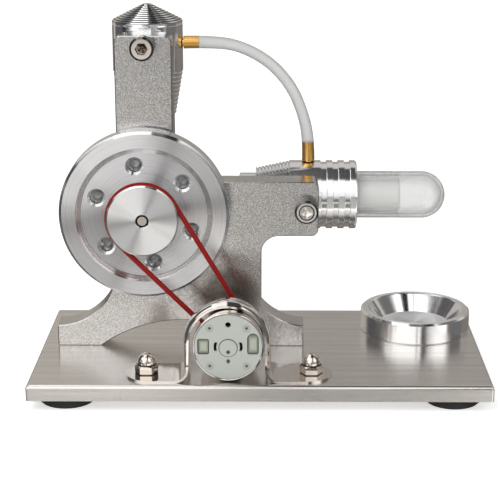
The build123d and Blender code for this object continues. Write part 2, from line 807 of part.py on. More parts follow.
# ---- Drive belt --------------------------------------------------------------------------
def belt_loop():
    """Closed centre line of the belt, in the plane of the two pulleys."""
    dx = MOTOR_X - CRANK_X
    dz = MOTOR_Z - CRANK_Z
    span = sqrt(dx**2 + dz**2)
    heading = degrees(atan2(dz, dx))
    lean = degrees(atan2(sqrt(span**2 - (BELT_PITCH_R - MOTOR_PITCH_R) ** 2),
                         BELT_PITCH_R - MOTOR_PITCH_R))
    big = CenterArc((CRANK_X, CRANK_Z), BELT_PITCH_R, heading + lean, 360 - 2 * lean)
    small = CenterArc((MOTOR_X, MOTOR_Z), MOTOR_PITCH_R, heading - lean, 2 * lean)
    return [big, Line(big @ 1, small @ 0), small, Line(small @ 1, big @ 0)]


def drive_belt():
    """Round rubber belt, swept along its loop."""
    loop = [Pos(0, BELT_Y, 0) * (Plane.XZ * edge) for edge in belt_loop()]
    path = Wire(loop)
    section = Plane(origin=path @ 0, z_dir=path % 0) * Circle(BELT_R)
    return sweep(section, path=path)


# ---- Motor -------------------------------------------------------------------------------
def on_motor(shape):
    """Place a part turned about +Z on the motor's axis, height 0 at the end cap's face."""
    return along_y(shape, x=MOTOR_X, y=MOTOR_FRONT, z=MOTOR_Z)


def motor_can():
    """Drawn steel can, its rim round the end cap, with a bush pocket in its rear."""
    depth = MOTOR_BACK - MOTOR_FRONT
    rim_r = MOTOR_R - CAN_RIM
    profile = [
        (rim_r, 0.1),
        (rim_r + 0.15, 0.0),
        (MOTOR_R - 0.15, 0.0),
        (MOTOR_R, 0.15),
        (MOTOR_R, depth - 1.5),
        (MOTOR_R - 0.4, depth - 0.4),
        (MOTOR_R - 1.5, depth),
        (CAN_POCKET_R, depth),
        (CAN_POCKET_R, depth + CAN_POCKET),
        (3.0, depth + CAN_POCKET),
        (3.0, depth - CAN_WALL),
        (MOTOR_R - CAN_WALL, depth - CAN_WALL),
        (MOTOR_R - CAN_WALL, END_CAP_T),
        (rim_r, END_CAP_T),
    ]
    return on_motor(turned(*profile))


def brush_window(side, gap):
    """Plan of a brush window (side -1 or 1), drawn in by a gap; -Y is up on the motor."""
    if side < 0:
        plan = RectangleRounded(4.0 - 2 * gap, 5.6 - 2 * gap, 0.7)
        return Pos(-8.5, -0.2) * plan
    plan = RectangleRounded(3.9 - 2 * gap, 7.6 - 2 * gap, 0.7)
    rounded_top = Pos(0, 0.3) * SlotOverall(8.2 - 2 * gap, 3.9 - 2 * gap, rotation=90)
    plan = plan & (rounded_top + Pos(0, 2.2) * Rectangle(3.9, 4.0))
    return Pos(8.45, -1.2) * plan


def motor_end_cap():
    """End cap: boss, brush windows, slots and dimples."""
    face_r = MOTOR_R - CAN_RIM - 0.03
    spigot_r = MOTOR_R - CAN_WALL - 0.02
    cap = rod(face_r, 0, END_CAP_T) + rod(spigot_r, END_CAP_T, END_CAP_T + 1.6)
    cap = chamfer(cap.edges().group_by(Axis.Z)[0], 0.2)
    cap -= rod(spigot_r - 1.0, END_CAP_T, END_CAP_T + 1.7)
    cap += rod(3.4, 0, END_CAP_T + 1.6)
    cap -= rod(2.2, END_CAP_T, END_CAP_T + 2)
    cap -= rod(MOTOR_SHAFT_R + 0.4, 0.8, END_CAP_T + 1)
    boss = Pos(0, 0.25, 0) * rod(3.1, -0.3, 0.0)
    cap += chamfer(boss.edges().group_by(Axis.Z)[0], 0.12)
    for side in (-1, 1):
        cap -= extrude(brush_window(side, 0.0), 4.0)
    crescent = tube(4.95, 4.0, -1, END_CAP_T) & block((2.5, 6), (-1.75, 1.4), (-1, 4))
    cap = cap - crescent - mirror(crescent, Plane.YZ)
    for x in (-6.3, 6.3):
        for y in (-6.8, 6.8):
            cap -= Pos(x, y, 0) * tube(1.25, 1.0, -0.2, 0.12)
            cap -= Pos(x, y, 0) * Cone(0.65, 0.25, 1.2)
    cap -= Pos(0, -8.05, 0) * Cylinder(0.97, 4.0)
    cap -= Pos(0, 5.4, 0) * Cylinder(0.5, 1.4)
    cap -= Pos(0, 1.7, -0.3) * Cylinder(0.45, 0.7)
    return on_motor(cap)


def brush_holders():
    """Two moulded holders that close the windows of the end cap."""
    holders = []
    for side in (-1, 1):
        body = Pos(0, 0, 0.35) * extrude(brush_window(side, 0.04), 1.6)
        holders.append(on_motor(chamfer(body.edges().group_by(Axis.Z)[0], 0.3)))
    return holders


def motor_magnets():
    """Two arc magnets in the can."""
    ring = tube(MOTOR_R - CAN_WALL, 9.5, 4.0, 14.0)
    keep = block((-20, 20), (-7.5, 7.5), (0, 20))
    return [on_motor(side) for side in (ring & keep).solids()]


def motor_bushes():
    """Sintered bushes at both ends of the motor."""
    depth = MOTOR_BACK - MOTOR_FRONT
    front = tube(2.2, MOTOR_SHAFT_R + ROD_GAP, END_CAP_T, END_CAP_T + 1.6)
    rear = tube(3.0, MOTOR_SHAFT_R + ROD_GAP, depth - 2.4, depth + CAN_POCKET)
    return [on_motor(front), on_motor(rear)]


def motor_brushes():
    """Two brush blades that bear on the commutator."""
    low = END_CAP_T + 1.65
    blades = []
    for side in (-1, 1):
        near = side * (2.5 + 0.15)
        far = side * 9.6
        x = (min(near, far), max(near, far))
        blades.append(on_motor(block(x, (-1.0, 1.0), (low, low + 0.6))))
    return blades


def motor_shaft():
    """Shaft of the motor, out to its pulley."""
    end = BELT_Y + 2.6 - MOTOR_FRONT
    return on_motor(rod(MOTOR_SHAFT_R, END_CAP_T - 0.2, end))


def rotor_core():
    """Three-pole iron stack."""
    core = rod(9.1, 5.0, 13.5) - rod(MOTOR_SHAFT_R, 0, 20)
    mouth = Pos(8.0, 0, 9) * Box(4.0, 1.6, 20)
    pocket = Pos(5.6, 0, 9) * Cylinder(2.1, 20)
    for i in range(3):
        core = core - Rotation(0, 0, 120 * i + 60) * mouth
        core = core - Rotation(0, 0, 120 * i + 60) * pocket
    return on_motor(core)


def rotor_windings():
    """End turns of the three coils, on the rear of the stack."""
    ring = tube(7.4, 3.4, 13.55, 15.2)
    gap = block((0, 10), (-0.4, 0.4), (10, 20))
    for i in range(3):
        ring -= Rotation(0, 0, 120 * i) * gap
    return [on_motor(coil) for coil in ring.solids()]


def commutator():
    """Copper commutator behind the end cap."""
    return on_motor(tube(2.5, MOTOR_SHAFT_R, END_CAP_T + 1.62, 4.9))


def motor_pulley():
    """Small belt pulley on the motor shaft."""
    flange_r = MOTOR_PITCH_R + 0.9
    profile = [(MOTOR_SHAFT_R, 0), (flange_r - 0.3, 0), (flange_r, 0.3)]
    profile += pulley_groove(flange_r, MOTOR_PITCH_R, 2.2)
    profile += [(flange_r, 4.1), (flange_r - 0.3, 4.4), (MOTOR_SHAFT_R, 4.4)]
    return along_y(turned(*profile), x=MOTOR_X, y=BELT_Y - 2.2, z=MOTOR_Z)


# ---- Motor strap -------------------------------------------------------------------------
def strap_section():
    """Front view of the strap: a half round with upright legs and flat feet."""
    outer_r = STRAP_R + STRAP_T
    leg_h = STRAP_Z - PLATE_TOP
    leg = Align.CENTER, Align.MAX
    outer = Circle(outer_r) + Rectangle(2 * outer_r, leg_h, align=leg)
    outer -= Pos(0, -leg_h) * Rectangle(4 * outer_r, 8, align=leg)
    inner = Circle(STRAP_R) + Rectangle(2 * STRAP_R, leg_h, align=leg)
    feet = Pos(0, -leg_h) * Rectangle(76, STRAP_T, align=(Align.CENTER, Align.MIN))
    band = outer + feet - inner
    bend = [(side * outer_r, STRAP_T - leg_h) for side in (-1, 1)]
    band = fillet([nearest(band, *p) for p in bend], STRAP_BEND)
    heel = [(side * STRAP_R, -leg_h) for side in (-1, 1)]
    return fillet([nearest(band, *p) for p in heel], STRAP_BEND + STRAP_T)


def strap_side():
    """Side view of the strap: wide feet that draw in to the narrow round."""
    foot = STRAP_FEET_W / 2 + 0.1
    neck = STRAP_W / 2
    top = STRAP_Z + STRAP_R + STRAP_T + STRAP_CROWN + 1
    wide = PLATE_TOP + STRAP_T + STRAP_BEND
    with BuildSketch(Plane.YZ) as side:
        with BuildLine():
            Line((-foot, PLATE_TOP - 1), (foot, PLATE_TOP - 1))
            Line((foot, PLATE_TOP - 1), (foot, wide))
            Spline((foot, wide), (neck, top - 4), tangents=((-0.8, 0.6), (0, 1)))
            Line((neck, top - 4), (neck, top))
            Line((neck, top), (-neck, top))
            Line((-neck, top), (-neck, top - 4))
            Spline((-neck, top - 4), (-foot, wide), tangents=((0, -1), (-0.8, -0.6)))
            Line((-foot, wide), (-foot, PLATE_TOP - 1))
        make_face()
    return side.sketch


def motor_strap():
    """Polished strap that holds the motor down, with rounded feet and two bolt holes."""
    band = extrude(Plane.XZ * strap_section(), STRAP_FEET_W)
    band = Pos(STRAP_X, STRAP_Y + STRAP_FEET_W / 2, STRAP_Z) * band
    plan = extrude(SlotOverall(2 * STRAP_HALF, STRAP_FEET_W), 60)
    band = band & (Pos(STRAP_FEET_X, STRAP_Y, 0) * plan)
    band = band & (Pos(-60, STRAP_Y, 0) * extrude(strap_side(), 120))
    half = STRAP_W / 2 - 0.35
    base_r = STRAP_R + STRAP_T - 0.3
    tip_r = STRAP_R + STRAP_T + STRAP_CROWN
    with BuildSketch() as crown:
        with BuildLine():
            ThreePointArc((base_r, -half), (tip_r, 0), (base_r, half))
            Line((base_r, half), (base_r, -half))
        make_face()
    section = crown.sketch
    leg_h = STRAP_Z - PLATE_TOP - STRAP_T - STRAP_BEND + 1.5
    leg = Pos(STRAP_X, STRAP_Y, STRAP_Z - leg_h) * extrude(section, leg_h)
    other = Pos(STRAP_X, STRAP_Y, STRAP_Z - leg_h) * extrude(Rotation(0, 0, 180) * section, leg_h)
    round_rib = revolve(section, Axis.Y, 180)
    if round_rib.bounding_box().max.Z < 1:
        round_rib = Rotation(180, 0, 0) * round_rib
    band = band + leg + other + Pos(STRAP_X, STRAP_Y, STRAP_Z) * round_rib
    for side in (-1, 1):
        hole = Cylinder(M4_R + 0.1, 6)
        band -= Pos(STRAP_FEET_X + side * NUT_OFFSET, STRAP_Y, PLATE_TOP) * hole
    return band


def acorn_nut(x):
    """Domed M4 nut on a strap foot."""
    body = extrude(RegularPolygon(7.0 / sqrt(3), 6), NUT_HEX_H)
    skirt = turned(
        (0, 0),
        (3.7, 0),
        (4.05, 0.35),
        (4.05, NUT_HEX_H - 0.5),
        (3.2, NUT_HEX_H),
        (0, NUT_HEX_H),
    )
    dome_z = NUT_H - NUT_DOME_R
    nut = (body & skirt) + rod(NUT_DOME_R, NUT_HEX_H, dome_z)
    nut += (Pos(0, 0, dome_z) * Sphere(NUT_DOME_R)) & rod(5, dome_z, NUT_H + 1)
    nut -= rod(M4_R + THREAD_GAP, -1, 5.0)
    return Pos(x, STRAP_Y, PLATE_TOP + STRAP_T) * nut


# ---- Burner ring -------------------------------------------------------------------------
def ring_screw_circle():
    """Radius of the circle of screws under the burner ring."""
    return (RING_R + RING_FLOOR_R) / 2 + 0.6


def burner_ring():
    """Turned dish that locates the spirit burner: a flat floor and a conical wall."""
    profile = [
        (0, 0),
        (RING_R - 0.4, 0),
        (RING_R, 0.4),
        (RING_R, RING_H - 0.7),
        (RING_R - 0.7, RING_H),
        (RING_TOP_R + 0.3, RING_H),
        (RING_TOP_R, RING_H - 0.3),
        (RING_FLOOR_R, RING_FLOOR),
        (0, RING_FLOOR),
    ]
    ring = turned(*profile)
    for hole in around(rod(M3_R + THREAD_GAP, -1, 3.6), RING_SCREWS, ring_screw_circle(), RING_SCREW_START):
        ring -= hole
    return Pos(RING_X, RING_Y, PLATE_TOP) * ring


# ---- Air line ----------------------------------------------------------------------------
def nipple(foot_r, reach):
    """Brass hose nipple standing on a cylinder of CYL_R; height is from the axis."""
    top = CYL_R + reach
    profile = [
        (NIPPLE_BORE_R, foot_r),
        (NIPPLE_R, foot_r),
        (NIPPLE_R, top - 0.4),
        (NIPPLE_R - 0.4, top),
        (NIPPLE_BORE_R, top),
    ]
    return turned(*profile)


def hose_path():
    """Runs of the hose joined by tangent arcs, and the radii of those arcs."""
    points = [Vector(x, CYL_Y, z) for x, z in HOSE_ROUTE]
    radii = []
    for before, here, after in zip(points, points[1:], points[2:]):
        run_in = here - before
        run_out = after - here
        half_turn = radians(run_in.get_angle(run_out)) / 2
        radii.append(0.45 * min(run_in.length, run_out.length) / tan(half_turn))
    return FilletPolyline(*points, radius=radii), radii


def air_hose():
    """Clear hose that slips over both nipples."""
    path, radii = hose_path()
    plane = Plane(origin=path @ 0, z_dir=path % 0)
    skin = sweep(plane * Circle(HOSE_R), path=path)
    bore = sweep(plane * Circle(HOSE_BORE_R), path=path)
    print("hose radii", [round(r, 1) for r in radii], "length", round(path.length, 1))
    section = pi * (HOSE_R**2 - HOSE_BORE_R**2)
    hose = skin - bore
    print("hose volume", round(hose.volume, 1), "section x length", round(section * path.length, 1))
    return hose - power_nipple() - displacer_nipple()


def power_nipple():
    """Nipple out of the power cylinder's side."""
    return along_x(nipple(POWER_BORE_R + 0.5, POWER_NIPPLE_REACH), x=CRANK_X, z=PORT_Z)


def displacer_nipple():
    """Nipple out of the displacer cylinder's top."""
    return Pos(PORT_X, CYL_Y, CRANK_Z) * nipple(CHAMBER_R + 0.4, DISP_NIPPLE_REACH)


# ---- Fasteners ---------------------------------------------------------------------------
def frame_screws():
    """Screws from under the base into the frame's feet."""
    screw = pan_screw(M4_R, M4_HEAD_R, M4_HEAD_H, 7.0)
    y = FRAME_FRONT + FRAME_T / 2
    return [upright(screw, x, y, PLATE_UNDER) for x in FRAME_SCREW_X]


def strap_bolts():
    """Bolts from under the base into the acorn nuts."""
    bolt = pan_screw(M4_R, M4_HEAD_R, M4_HEAD_H, SHEET_T + STRAP_T + 4.5)
    xs = [STRAP_FEET_X + side * NUT_OFFSET for side in (-1, 1)]
    return [upright(bolt, x, STRAP_Y, PLATE_UNDER) for x in xs]


def burner_ring_screws():
    """Screws from under the base into the burner ring."""
    screw = pan_screw(M3_R, M3_HEAD_R, M3_HEAD_H, 4.4)
    places = around(screw, RING_SCREWS, ring_screw_circle(), RING_SCREW_START)
    return [upright(each, RING_X, RING_Y, PLATE_UNDER) for each in places]


def cylinder_screw(x, z, depth, turn):
    """Socket-head screw through the frame into a cylinder."""
    screw = cap_screw(M5_R, M5_HEAD_R, M5_HEAD_H, M5_HEX, FRAME_T + depth)
    return along_y(Rotation(0, 0, turn) * screw, x=x, y=FRAME_FRONT, z=z)


# ---- Write every node --------------------------------------------------------------------
def all_nodes():
    """Every sub-part by its node name; a list is a group of separate solids."""
    fronts = bearing_fronts()
    nodes = {
        "base_plate": base_plate(),
        "foot_front_left": rubber_foot(-FOOT_X, -FOOT_Y),
        "foot_front_right": rubber_foot(FOOT_X, -FOOT_Y),
        "foot_rear_left": rubber_foot(-FOOT_X, FOOT_Y),
        "foot_rear_right": rubber_foot(FOOT_X, FOOT_Y),
        "engine_frame": engine_frame(),
        "frame_screws": frame_screws(),
        "power_cylinder_screw": cylinder_screw(CRANK_X, POWER_SCREW_Z, 2.9, 0),
        "displacer_cylinder_screw": cylinder_screw(DISP_SCREW_X, CRANK_Z, 3.3, 30),
        "bearing_outer_rings": [along_y(outer_ring(), y=y) for y in fronts],
        "bearing_balls": [along_y(ball, y=y) for y in fronts for ball in ball_set()],
        "power_cylinder": power_cylinder(),
        "power_cylinder_head": power_cylinder_head(),
        "head_gasket": head_gasket(),
        "displacer_cylinder": displacer_cylinder(),
        "gland_bush": gland_bush(),
        "hot_cap": hot_cap(),
        "hot_cap_seal": hot_cap_seal(),
        "power_nipple": power_nipple(),
        "displacer_nipple": displacer_nipple(),
        "air_hose": air_hose(),
        "burner_ring": burner_ring(),
        "burner_ring_screws": burner_ring_screws(),
        "motor_can": motor_can(),
        "motor_end_cap": motor_end_cap(),
        "brush_holders": brush_holders(),
        "motor_magnets": motor_magnets(),
        "motor_bushes": motor_bushes(),
        "motor_brushes": motor_brushes(),
        "motor_strap": motor_strap(),
        "strap_bolts": strap_bolts(),
        "acorn_nuts": [acorn_nut(STRAP_FEET_X + side * NUT_OFFSET) for side in (-1, 1)],
        "drive_belt": drive_belt(),
        "main_shaft": main_shaft(),
        "flywheel": flywheel(),
        "belt_pulley": belt_pulley(),
        "pulley_set_screw": pulley_set_screw(),
        "shaft_spacer": shaft_spacer(),
        "bearing_inner_rings": [along_y(inner_ring(), y=y) for y in fronts],
        "crank_disc": crank_disc(),
        "crank_pin": crank_pin(),
        "crank_pin_washer": crank_pin_washer(),
        "crank_pin_clip": crank_pin_clip(),
        "crank_dowel": crank_dowel(),
        "power_piston": power_piston(),
        "displacer_shell": displacer_shell(),
        "displacer_plug": displacer_plug(),
        "displacer_rod": displacer_rod(),
        "displacer_fork": displacer_fork(),
        "power_con_rod": power_con_rod(),
        "power_rod_bush": rod_bush(POWER_LINK_Y),
        "power_wrist_pin": along_y(wrist_pin(POWER_LINK_Y), z=small_end_z(), x=PIN_X),
        "displacer_con_rod": displacer_con_rod(),
        "displacer_rod_bush": rod_bush(DISP_LINK_Y),
        "displacer_wrist_pin": along_y(wrist_pin(DISP_LINK_Y), x=small_end_x()),
        "motor_shaft": motor_shaft(),
        "rotor_core": rotor_core(),
        "rotor_windings": rotor_windings(),
        "commutator": commutator(),
        "motor_pulley": motor_pulley(),
    }
    return nodes


os.makedirs("parts", exist_ok=True)
for name, shape in all_nodes().items():
    solids = shape if isinstance(shape, list) else [shape]
    group = Compound(children=[s for item in solids for s in item.solids()])
    group.label = name
    export_step(group, f"parts/{name}.step")
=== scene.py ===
import math

import bpy
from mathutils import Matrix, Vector


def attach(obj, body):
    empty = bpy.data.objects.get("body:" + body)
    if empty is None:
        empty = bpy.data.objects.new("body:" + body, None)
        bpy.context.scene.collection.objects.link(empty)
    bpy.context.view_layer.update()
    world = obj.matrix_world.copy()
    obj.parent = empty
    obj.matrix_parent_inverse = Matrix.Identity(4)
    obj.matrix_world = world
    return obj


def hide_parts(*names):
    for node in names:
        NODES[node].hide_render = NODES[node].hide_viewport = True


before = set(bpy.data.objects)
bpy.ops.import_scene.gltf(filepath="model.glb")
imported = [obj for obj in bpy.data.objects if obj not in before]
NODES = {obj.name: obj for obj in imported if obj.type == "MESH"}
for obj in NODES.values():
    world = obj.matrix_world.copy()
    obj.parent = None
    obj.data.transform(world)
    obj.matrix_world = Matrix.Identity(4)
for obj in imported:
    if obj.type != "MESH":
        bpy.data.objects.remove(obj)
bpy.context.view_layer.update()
MM = 0.001


# ---------------------------------------------------------------- node helpers
def new_material(name):
    """An empty node material, its tree and its Principled shader."""
    mat = bpy.data.materials.new(name)
    mat.use_nodes = True
    tree = mat.node_tree
    tree.nodes.clear()
    out = tree.nodes.new("ShaderNodeOutputMaterial")
    bsdf = tree.nodes.new("ShaderNodeBsdfPrincipled")
    tree.links.new(bsdf.outputs["BSDF"], out.inputs["Surface"])
    return mat, tree, bsdf


def add(tree, kind, inputs=None, **settings):
    """One node with its settings and its input values or links."""
    node = tree.nodes.new("ShaderNode" + kind)
    for key, value in settings.items():
        setattr(node, key, value)
    for key, value in (inputs or {}).items():
        if isinstance(value, bpy.types.NodeSocket):
            tree.links.new(value, node.inputs[key])
        else:
            node.inputs[key].default_value = value
    return node


def math_node(tree, operation, a, b=0.0, clamp=False):
    """One math operation's output."""
    return add(tree, "Math", {0: a, 1: b}, operation=operation, use_clamp=clamp).outputs[0]


def object_coords(tree, scale=(1, 1, 1)):
    """Object coordinates, scaled."""
    coords = add(tree, "TexCoord").outputs["Object"]
    return add(tree, "Mapping", {"Vector": coords, "Scale": scale}).outputs[0]


def noise(tree, vector, scale, detail=2.0, rough=0.5):
    """Noise of a given scale, 0 to 1."""
    values = {"Vector": vector, "Scale": scale, "Detail": detail, "Roughness": rough}
    return add(tree, "TexNoise", values).outputs["Fac"]


def ramp(tree, fac, stops):
    """Colour ramp from (place, grey or colour) stops."""
    node = add(tree, "ValToRGB", {"Fac": fac})
    elements = node.color_ramp.elements
    while len(elements) < len(stops):
        elements.new(0.5)
    for element, (place, value) in zip(elements, stops):
        element.position = place
        rgb = value if isinstance(value, tuple) else (value, value, value)
        element.color = (*rgb, 1)
    return node.outputs["Color"]


def mixed(tree, fac, low, high):
    """Colour that goes from low to high by fac."""
    node = add(tree, "Mix", data_type="RGBA")
    for key, value in ((0, fac), (6, low), (7, high)):
        if isinstance(value, bpy.types.NodeSocket):
            tree.links.new(value, node.inputs[key])
        elif key == 0:
            node.inputs[key].default_value = value
        else:
            node.inputs[key].default_value = (*value, 1)
    return node.outputs[2]


def multiplied(tree, one, other):
    """Two colours multiplied."""
    node = add(tree, "Mix", data_type="RGBA", blend_type="MULTIPLY")
    node.inputs[0].default_value = 1.0
    tree.links.new(one, node.inputs[6])
    tree.links.new(other, node.inputs[7])
    return node.outputs[2]


def in_range(tree, fac, low, high):
    """Map 0..1 onto low..high."""
    return add(tree, "MapRange", {"Value": fac, "To Min": low, "To Max": high}).outputs[0]


def bump(tree, bsdf, height, distance):
    """Relief of a given depth in metres."""
    node = add(tree, "Bump", {"Height": height, "Distance": distance, "Strength": 1.0})
    tree.links.new(node.outputs[0], bsdf.inputs["Normal"])


def scaled(color, factor):
    """A colour times a factor, kept under 1."""
    return tuple(min(1.0, c * factor) for c in color)


def radius_about(tree, axis, centre):
    """Distance in metres from an axis through centre, along X, Y or Z."""
    coords = add(tree, "TexCoord").outputs["Object"]
    moved = add(tree, "VectorMath", {0: coords, 1: centre}, operation="SUBTRACT").outputs[0]
    flat = [1.0, 1.0, 1.0]
    flat["XYZ".index(axis)] = 0.0
    flat = add(tree, "VectorMath", {0: moved, 1: tuple(flat)}, operation="MULTIPLY").outputs[0]
    return add(tree, "VectorMath", {0: flat}, operation="LENGTH").outputs["Value"]


def rings(tree, value, pitch):
    """Ripple of a given pitch along a distance: the upper halves of a sine, 0 to 1."""
    phase = math_node(tree, "MULTIPLY", value, 2 * math.pi / pitch)
    return in_range(tree, math_node(tree, "SINE", phase), 0.0, 1.0)


def place_of(tree):
    """Object coordinates as separate X, Y and Z outputs."""
    coords = add(tree, "TexCoord").outputs["Object"]
    return add(tree, "SeparateXYZ", {0: coords}).outputs


def facing_along(tree, axis):
    """The face normal's part along an axis."""
    normal = add(tree, "NewGeometry").outputs["True Normal"]
    return add(tree, "SeparateXYZ", {0: normal}).outputs[axis]


# ---------------------------------------------------------------- materials
def turned_metal(name, color, rough, axis, centre, pitch, depth, aniso, tint=0.06,
                 shade_bands=(), ledge_shade=1.0, sides=None, steps=None):
    """Metal turned about an axis: fine grooves, anisotropic sheen, faint rings of tone.

    shade_bands are rings of painted shade, as ringed() takes them. ledge_shade is a factor on the
    tone of faces that look up: painted shade. sides is the roughness of faces that aren't square
    to the axis. steps is the first height and the pitch, in mm, of turned steps whose inner
    corners get painted shade.
    """
    mat, tree, bsdf = new_material(name)
    bsdf.inputs["Metallic"].default_value = 1.0
    bsdf.inputs["Anisotropic"].default_value = aniso
    bsdf.inputs["Anisotropic Rotation"].default_value = 0.25
    tangent = add(tree, "Tangent", direction_type="RADIAL", axis=axis)
    tree.links.new(tangent.outputs[0], bsdf.inputs["Tangent"])
    r = radius_about(tree, axis, centre)
    grain = noise(tree, add(tree, "CombineXYZ", {"X": r}).outputs[0], 2600.0, 3.0, 0.7)
    fine = noise(tree, add(tree, "CombineXYZ", {"X": r, "Y": 0.37}).outputs[0], 900.0, 2.0, 0.6)
    grain = math_node(tree, "ADD", math_node(tree, "MULTIPLY", grain, 0.5),
                      math_node(tree, "MULTIPLY", fine, 0.5))
    grain = add(tree, "MapRange", {"Value": grain, "From Min": 0.3, "From Max": 0.7}).outputs[0]
    tone = mixed(tree, grain, scaled(color, 1 - tint), scaled(color, 1 + tint))
    # Rings of painted shade in gaps and hollows.
    tone = ringed(tree, tone, centre, shade_bands)
    # Faces that look up are darkened: painted shade.
    if ledge_shade < 1:
        up = math_node(tree, "GREATER_THAN", facing_along(tree, "Z"), 0.9)
        tone = mixed(tree, math_node(tree, "MULTIPLY", up, 1 - ledge_shade), tone, (0, 0, 0))
    # Painted shade in the inner corners of the turned steps.
    if steps:
        first, spacing = steps
        count = math_node(tree, "SUBTRACT", place_of(tree)["Z"], first * MM)
        count = math_node(tree, "DIVIDE", count, spacing * MM)
        corner_shade = math_node(tree, "LESS_THAN", math_node(tree, "FRACT", count), 0.3)
        corner_shade = math_node(tree, "MULTIPLY", corner_shade, math_node(tree, "GREATER_THAN", count, 0.0))
        tone = mixed(tree, math_node(tree, "MULTIPLY", corner_shade, 0.88), tone, (0, 0, 0))
    tree.links.new(tone, bsdf.inputs["Base Color"])
    grained = in_range(tree, grain, rough * 0.85, rough * 1.2)
    if sides is not None:
        square = math_node(tree, "ABSOLUTE", facing_along(tree, axis))
        flat = add(tree, "MapRange", {"Value": square, "From Min": 0.93,
                                      "From Max": 0.98}).outputs[0]
        edge = add(tree, "Mix", data_type="FLOAT")
        tree.links.new(flat, edge.inputs[0])
        edge.inputs[2].default_value = sides
        tree.links.new(grained, edge.inputs[3])
        grained = edge.outputs[0]
    tree.links.new(grained, bsdf.inputs["Roughness"])
    if depth > 0:
        bump(tree, bsdf, rings(tree, r, pitch * MM), depth * MM)
    return mat


def ringed(tree, base, centre, shade_bands):
    """Painted shade: darken a colour on rings about a Y axis: (inner, outer, factor, nearest Y) in
    mm.
    """
    r = radius_about(tree, "Y", centre)
    y = place_of(tree)["Y"]
    soft = 0.08 * MM
    for inner, outer, factor, behind in shade_bands:
        rise = add(tree, "MapRange", {"Value": r, "From Min": inner * MM - soft,
                                      "From Max": inner * MM + soft}).outputs[0]
        fall = add(tree, "MapRange", {"Value": r, "From Min": outer * MM + soft,
                                      "From Max": outer * MM - soft}).outputs[0]
        mask = math_node(tree, "MULTIPLY", rise, fall)
        deep = math_node(tree, "GREATER_THAN", y, behind * MM)
        mask = math_node(tree, "MULTIPLY", mask, deep)
        base = mixed(tree, math_node(tree, "MULTIPLY", mask, 1 - factor), base, (0, 0, 0))
    return base


def banded_metal(name, color, rough, centre, shade_bands):
    """Plated metal with darker rings of painted shade about a Y axis."""
    mat, tree, bsdf = new_material(name)
    bsdf.inputs["Metallic"].default_value = 1.0
    marks = noise(tree, object_coords(tree), 900.0, 4.0, 0.6)
    tone = mixed(tree, marks, scaled(color, 0.9), color)
    tone = ringed(tree, tone, centre, shade_bands)
    tree.links.new(tone, bsdf.inputs["Base Color"])
    tree.links.new(in_range(tree, marks, rough * 0.7, rough * 1.4), bsdf.inputs["Roughness"])
    bump(tree, bsdf, marks, 0.002 * MM)
    return mat


def polished_metal(name, color, rough, shade_lines=()):
    """Polished or plated metal with faint wiping marks.

    shade_lines are dark level lines of painted shade at creases: (height, reach to each side) in
    mm.
    """
    mat, tree, bsdf = new_material(name)
    bsdf.inputs["Metallic"].default_value = 1.0
    marks = noise(tree, object_coords(tree), 900.0, 4.0, 0.6)
    tone = mixed(tree, marks, scaled(color, 0.95), color)
    z = place_of(tree)["Z"]
    # Dark level lines of painted shade at creases.
    for height, reach in shade_lines:
        gap = math_node(tree, "ABSOLUTE", math_node(tree, "SUBTRACT", z, height * MM))
        dark = add(tree, "MapRange", {"Value": gap, "From Min": reach * MM,
                                      "From Max": reach * MM * 0.5, "To Max": 0.9}).outputs[0]
        tone = mixed(tree, dark, tone, (0.02, 0.014, 0.01))
    tree.links.new(tone, bsdf.inputs["Base Color"])
    tree.links.new(in_range(tree, marks, rough * 0.7, rough * 1.4), bsdf.inputs["Roughness"])
    bump(tree, bsdf, marks, 0.002 * MM)
    return mat


def blasted_metal(name, color, rough, grain):
    """Bead-blasted aluminium: sparkling grain in tone, gloss and relief."""
    mat, tree, bsdf = new_material(name)
    bsdf.inputs["Metallic"].default_value = 1.0
    fine = noise(tree, object_coords(tree), 1.0 / (grain * MM), 3.0, 0.7)
    speck = ramp(tree, fine, [(0.42, 0.0), (0.58, 1.0)])
    broad = noise(tree, object_coords(tree), 28.0, 2.0)
    tone = mixed(tree, speck, scaled(color, 0.74), scaled(color, 1.26))
    warm = mixed(tree, in_range(tree, broad, 0.0, 0.25), (1, 1, 1), (1.0, 0.965, 0.93))
    tree.links.new(multiplied(tree, tone, warm), bsdf.inputs["Base Color"])
    tree.links.new(in_range(tree, fine, rough * 0.85, rough * 1.2), bsdf.inputs["Roughness"])
    bump(tree, bsdf, fine, 0.03 * MM)
    return mat


def brushed_sheet(name, color, rough):
    """Stainless sheet brushed along X."""
    mat, tree, bsdf = new_material(name)
    bsdf.inputs["Metallic"].default_value = 1.0
    bsdf.inputs["Anisotropic"].default_value = 0.8
    across = add(tree, "CombineXYZ", {"X": 0.0, "Y": 1.0, "Z": 0.0})
    tree.links.new(across.outputs[0], bsdf.inputs["Tangent"])
    streaks = noise(tree, object_coords(tree, (14, 2400, 2400)), 1.0, 4.0, 0.7)
    cloud = noise(tree, object_coords(tree, (16, 420, 420)), 1.0, 3.0, 0.6)
    both = math_node(tree, "ADD", math_node(tree, "MULTIPLY", streaks, 0.5),
                     math_node(tree, "MULTIPLY", cloud, 0.5))
    tone = mixed(tree, both, scaled(color, 0.64), scaled(color, 1.20))
    tree.links.new(tone, bsdf.inputs["Base Color"])
    tree.links.new(in_range(tree, streaks, rough * 0.8, rough * 1.3), bsdf.inputs["Roughness"])
    bump(tree, bsdf, streaks, 0.004 * MM)
    return mat


